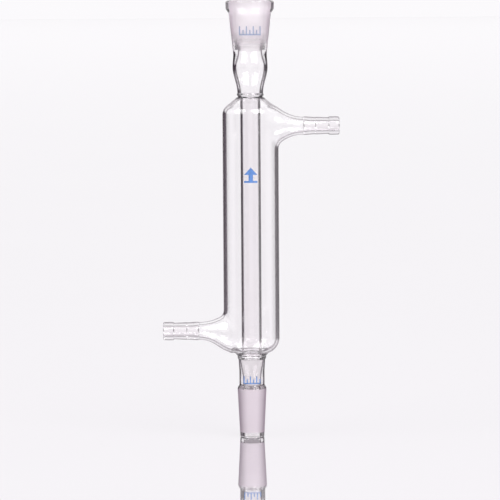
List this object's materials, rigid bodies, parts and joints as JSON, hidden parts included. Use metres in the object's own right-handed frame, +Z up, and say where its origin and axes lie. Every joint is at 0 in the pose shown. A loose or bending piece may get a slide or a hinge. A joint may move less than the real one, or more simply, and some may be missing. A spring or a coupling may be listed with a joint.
{
  "type": "liebig condenser",
  "caption": "Straight glass vapour tube in a sealed water jacket, with a ground socket on top, a ground cone below and a barbed hose nozzle on each side of the jacket.",
  "frame": {"origin": "on the tube's axis, at the bottom end of the lower cone", "axes": "+Z up along the vapour tube, +X along the upper (outlet) nozzle, -Y the printed front"},
  "size_m": [0.0886, 0.0281, 0.2184],
  "materials": {
    "clear_glass": "clear, fire polished",
    "ground_glass": "fine ground, frosted",
    "enamel": "fired enamel print"
  },
  "bodies": {
    "root": {"ground_socket": "clear_glass", "upper_ring_seal": "clear_glass", "condenser_tube": "clear_glass", "lower_ring_seal": "clear_glass", "upper_shoulder": "clear_glass", "jacket_tube": "clear_glass", "lower_shoulder": "clear_glass", "outlet_seal": "clear_glass", "outlet_nozzle": "clear_glass", "inlet_seal": "clear_glass", "inlet_nozzle": "clear_glass", "ground_cone": "ground_glass", "socket_size_mark": "enamel", "flow_mark": "enamel", "cone_size_mark": "enamel"}
  },
  "joints": []
}
